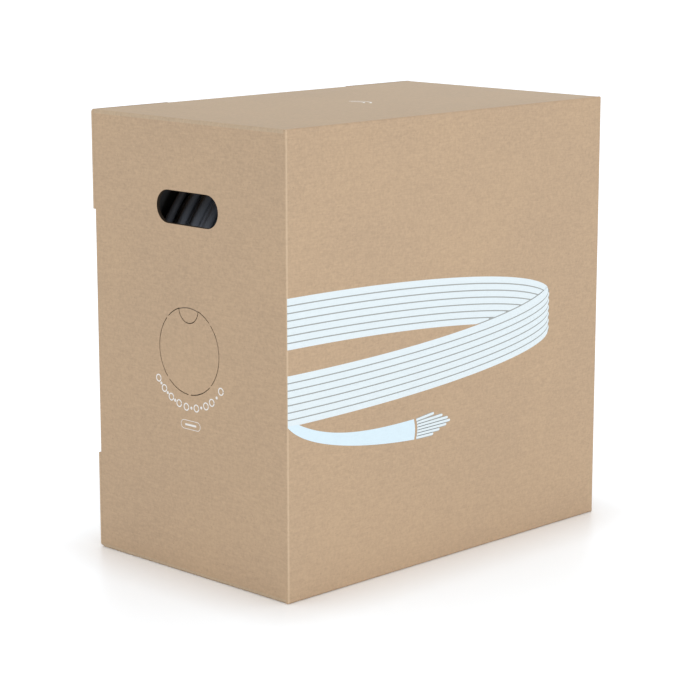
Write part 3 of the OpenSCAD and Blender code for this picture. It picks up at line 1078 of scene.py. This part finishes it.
def ring_band(centre, inner, outer, start, end, count):
    """Grid of a band round a circle: across is its first array and height its second."""
    angles = np.radians(np.linspace(start, end, count))[:, None]
    radius = np.linspace(inner, outer, 3)[None, :]
    return centre[0] + radius * np.cos(angles), centre[1] + radius * np.sin(angles)


def pill_rim(centre, length, height, width):
    """Closed band of the given width round the inside of a pill shape."""
    outer = stadium(centre, length, height)
    inner = stadium(centre, length - 2 * width, height - 2 * width)
    points = np.stack([inner, outer], axis=1)
    return points[..., 0], points[..., 1]


MARK_R = 0.0523
MARK_GROUPS = ((-54, -16, 7), (-5, 25, 5), (35, 54, 3))
MARK_RING, MARK_DOT = (0.0026, 0.0037), (0.0001, 0.0014)
BADGE_AT, BADGE_SIZE, BADGE_RIM = (0.001, -0.0685), (0.0265, 0.0085), 0.0005
BADGE_BAR = (0.0150, 0.0018)
TOP_ARCS = ((0.0145, 0.0165, 24), (0.0080, 0.0100, 16))


class SPOOLBOX_OT_marks(bpy.types.Operator):
    """Print the plain marks that stand in for lettering"""

    bl_idname = "spoolbox.marks"
    bl_label = "Plain marks"

    def execute(self, context):
        marks = (("end_marks", self.end_marks()), ("top_mark", self.top_mark()))
        for name, shell in marks:
            thing = place(name, shell.mesh(name), (paint("white_ink"),))
            fit(thing, "carton", "kraft_board")
        return {"FINISHED"}

    def end_marks(self):
        """Three groups of rings and dots round the port, and a pill shape with a bar below them."""
        centre = np.array([PORT_MIDDLE[X], AXLE_Z])
        turn = np.linspace(0, 2 * math.pi, 25)[:, None]
        shell = Shell()
        for first, last, count in MARK_GROUPS:
            for index, angle in enumerate(np.radians(np.linspace(first, last, count) - 90)):
                bead = centre + MARK_R * np.array([math.cos(angle), math.sin(angle)])
                radius = np.array([MARK_RING if index % 2 == 0 else MARK_DOT])
                ink_patch(shell, on_end, bead[0] + radius * np.cos(turn),
                          bead[1] + radius * np.sin(turn))
        badge = centre + BADGE_AT
        ink_patch(shell, on_end, *pill_rim(badge, *BADGE_SIZE, BADGE_RIM), wrap_u=True)
        across = np.linspace(-BADGE_BAR[0] / 2, BADGE_BAR[0] / 2, 8)[:, None]
        up = np.linspace(-BADGE_BAR[1] / 2, BADGE_BAR[1] / 2, 2)[None, :]
        ink_patch(shell, on_end, badge[0] + across + 0 * up, badge[1] + up + 0 * across)
        return shell

    def top_mark(self):
        """Two arcs about the middle of the top."""
        shell = Shell()
        for inner, outer, count in TOP_ARCS:
            ink_patch(shell, on_top, *ring_band((PORT_MIDDLE[X], 0.0), inner, outer, 25, 155, count))
        return shell


# ---------------------------------------------------------------- spool and cable


def helix(radius, start, end, pitch, size, steps=72, sides=12):
    """A tube of the given size carried along a helix about the axle: the centre line is
    (x, r cos a, r sin a) with x = start + pitch a / 2 pi."""
    turns = (end - start) / pitch
    a = np.linspace(0, 2 * math.pi * turns, int(turns * steps) + 1)[:, None]
    side = np.linspace(0, 2 * math.pi, sides, endpoint=False)
    out = radius + size / 2 * np.cos(side)
    points = np.empty((len(a), sides, 3))
    points[..., X] = start + pitch * a / (2 * math.pi) + size / 2 * np.sin(side)
    points[..., Y] = out * np.cos(a)
    points[..., Z] = AXLE_Z + out * np.sin(a)
    return points


CORE_INSET = 0.0005


class SPOOLBOX_OT_cable(bpy.types.Operator):
    """Wind the cable: the close layer and the open last layer"""

    bl_idname = "spoolbox.cable"
    bl_label = "Wound cable"

    def execute(self, context):
        pitch = context.scene.spool_cable.diameter + context.scene.spool_cable.gap
        self.wind("close_winding", "cable_winding", pitch, pitch / 2, core=True)
        self.wind("open_winding", "cable_outer_turns", 2 * pitch,
                  context.scene.spool_cable.diameter / 2, steps=90, sides=16)
        return {"FINISHED"}

    def wind(self, name, node, pitch, margin, core=False, **fineness):
        """One layer in the place of a CAD node, with its centre line a margin in from both ends. core
        fills the space from the barrel to just below that centre line."""
        size = bpy.context.scene.spool_cable.diameter
        low, high = (np.array(corner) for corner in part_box(node))
        radius = float(high[Z] - low[Z]) / 2 - size / 2
        shell = Shell()
        shell.grid(helix(radius, low[X] + margin, high[X] - margin, pitch, size, **fineness),
                   wrap_v=True, cap=True)
        if core:
            ends = (low[X] + CORE_INSET, high[X] - CORE_INSET)
            inner, outer = float(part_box("winding_barrel")[1][Y]), radius - size * 0.18
            shell.lathe(np.array([[ends[0], inner], [ends[0], outer],
                                  [ends[1], outer], [ends[1], inner]]))
        thing = place(name, shell.mesh(name), (paint("cable_jacket"),))
        fit(thing, "spool", "cable_jacket", node)


class SPOOLBOX_OT_spool(bpy.types.Operator):
    """Finish the spool's mouldings, the tubes, the fasteners and the tape"""

    bl_idname = "spoolbox.spool"
    bl_label = "Spool and axle"

    def execute(self, context):
        finishes = {
            "moulded_plastic": ("spool_flange_side", "spool_flange_door", "bushing_side",
                                "bushing_door", "axle_plug_side", "axle_plug_door"),
            "paperboard_tube": ("winding_barrel", "axle_tube"),
            "zinc_steel": ("tie_bolts", "bolt_washers", "tie_nuts"),
            "paper_tape": ("end_tape",),
        }
        for name, nodes in finishes.items():
            for node in nodes:
                repaint(node, name)
        return {"FINISHED"}


# ---------------------------------------------------------------- stage


# The floor's glow fades from its far colour to a dark one at the box's foot: a painted contact
# shadow.
PAINTED_SHADOW_REACH, GLOW_IN_PAINTED_SHADOW, GLOW_FAR = 0.065, (0.04, 0.04, 0.04), (0.185, 0.225, 0.262)
FLOOR_REACH, FLOOR_DROP = 20.0, 0.0002
KEY_AT, KEY_TOWARDS, KEY_SIZE = (2.6, -0.3, 0.6), (0.1, 0.0, 0.2), 1.6
INNER_AT, INNER_TOWARDS, INNER_SIZE = (-0.025, -0.200, 0.275), (-0.035, -0.145, 0.320), 0.02
INNER_SPREAD = math.radians(110)


def lamp(name, at, towards, power, size):
    """A square lamp that faces a point."""
    data = bpy.data.lights.new(name, "AREA")
    data.energy, data.size = power, size
    thing = bpy.data.objects.new(name, data)
    bpy.context.scene.collection.objects.link(thing)
    thing.location = at
    x, y, z = np.asarray(towards, float) - np.asarray(at, float)
    thing.rotation_euler = (math.atan2(math.hypot(x, y), -z), 0, math.atan2(-x, y))
    return thing


def foot_distance(finish):
    """Distance over the floor to the foot of the box, where the floor's own light fades out into a
    painted contact shadow.
    """
    x, y, _ = finish.axes()
    half = (HIGH - LOW) / 2
    off_x, off_y = (abs(x) - float(half[X])).most(0.0), (abs(y) - float(half[Y])).most(0.0)
    return maths("SQRT", off_x * off_x + off_y * off_y)


class SPOOLBOX_OT_stage(bpy.types.Operator):
    """Set the pale floor, the soft light and the camera"""

    bl_idname = "spoolbox.stage"
    bl_label = "Stage"

    def execute(self, context):
        self.camera(context.scene)
        self.room(context.scene)
        self.floor()
        self.lamps(context.scene.spool_stage)
        return {"FINISHED"}

    def camera(self, scene):
        """The camera, which looks down on the front fold."""
        sizes = scene.spool_stage
        data = bpy.data.cameras.new("camera")
        data.lens, data.sensor_width, data.clip_end = sizes.lens, 36.0, 50.0
        camera = bpy.data.objects.new("camera", data)
        scene.collection.objects.link(camera)
        camera.location = sizes.camera_at
        camera.rotation_euler = (math.pi / 2 - sizes.tilt, 0, sizes.turn)
        scene.camera = camera

    def room(self, scene):
        """Even white light from all sides."""
        world = bpy.data.worlds.new("room")
        world.use_nodes = True
        background = world.node_tree.nodes["Background"]
        background.inputs["Color"].default_value = (1, 1, 1, 1)
        background.inputs["Strength"].default_value = scene.spool_stage.room_light
        scene.world = world
        scene.view_settings.view_transform = "Standard"

    def floor(self):
        """A pale floor with a faint light of its own, which fades out at the foot of the box as a
        painted contact shadow.
        """
        pale = Finish("pale_floor", roughness=0.35)
        # Painted contact shadow: the floor's glow dims towards the foot of the box.
        near = foot_distance(pale).over(0.0, PAINTED_SHADOW_REACH)
        pale.set(base_color=pale.mix(pale.noise(3.0), colour((0.93,) * 3), colour((0.95,) * 3)),
                 emission_color=pale.mix(near, colour(GLOW_IN_PAINTED_SHADOW), colour(GLOW_FAR)))
        pale.shader.inputs["Emission Strength"].default_value = 1.0
        reach = np.linspace(-FLOOR_REACH, FLOOR_REACH, 2)
        across, back = np.meshgrid(reach, reach, indexing="ij")
        shell = Shell()
        shell.grid(np.stack([across, back, 0 * across + float(LOW[Z]) - FLOOR_DROP], axis=-1))
        place("floor", shell.mesh("floor"), (pale.material,))

    def lamps(self, sizes):
        """The large lamp on the printed side, and the small one behind the front hand hole."""
        lamp("side_key", KEY_AT, KEY_TOWARDS, sizes.key_light, KEY_SIZE)
        inner = lamp("inner_fill", INNER_AT, INNER_TOWARDS, sizes.inner_light, INNER_SIZE)
        inner.data.spread = INNER_SPREAD
        inner.visible_camera = inner.visible_glossy = False


# ---------------------------------------------------------------- panel and run


OPERATORS = (
    SPOOLBOX_OT_stage,
    SPOOLBOX_OT_walls,
    SPOOLBOX_OT_hole_rims,
    SPOOLBOX_OT_port,
    SPOOLBOX_OT_door,
    SPOOLBOX_OT_braces,
    SPOOLBOX_OT_loop_print,
    SPOOLBOX_OT_marks,
    SPOOLBOX_OT_cable,
    SPOOLBOX_OT_spool,
)


class SPOOLBOX_PT_panel(bpy.types.Panel):
    """Lists the steps that build the spool box"""

    bl_label = "Spool Box"
    bl_idname = "SPOOLBOX_PT_panel"
    bl_space_type = "VIEW_3D"
    bl_region_type = "UI"
    bl_category = "Spool Box"

    def draw(self, context):
        for operator in OPERATORS:
            self.layout.operator(operator.bl_idname)


CLASSES = (*SETTINGS.values(), *OPERATORS, SPOOLBOX_PT_panel)


def register():
    """Adds the classes and the settings to the scene."""
    for cls in CLASSES:
        bpy.utils.register_class(cls)
    for name, group in SETTINGS.items():
        setattr(bpy.types.Scene, name, PointerProperty(type=group))


def unregister():
    """Takes the settings and the classes out again."""
    for name in SETTINGS:
        delattr(bpy.types.Scene, name)
    for cls in reversed(CLASSES):
        bpy.utils.unregister_class(cls)


def main():
    """Builds everything in order."""
    register()
    for operator in OPERATORS:
        family, name = operator.bl_idname.split(".")
        getattr(getattr(bpy.ops, family), name)()


if __name__ == "__main__":
    main()
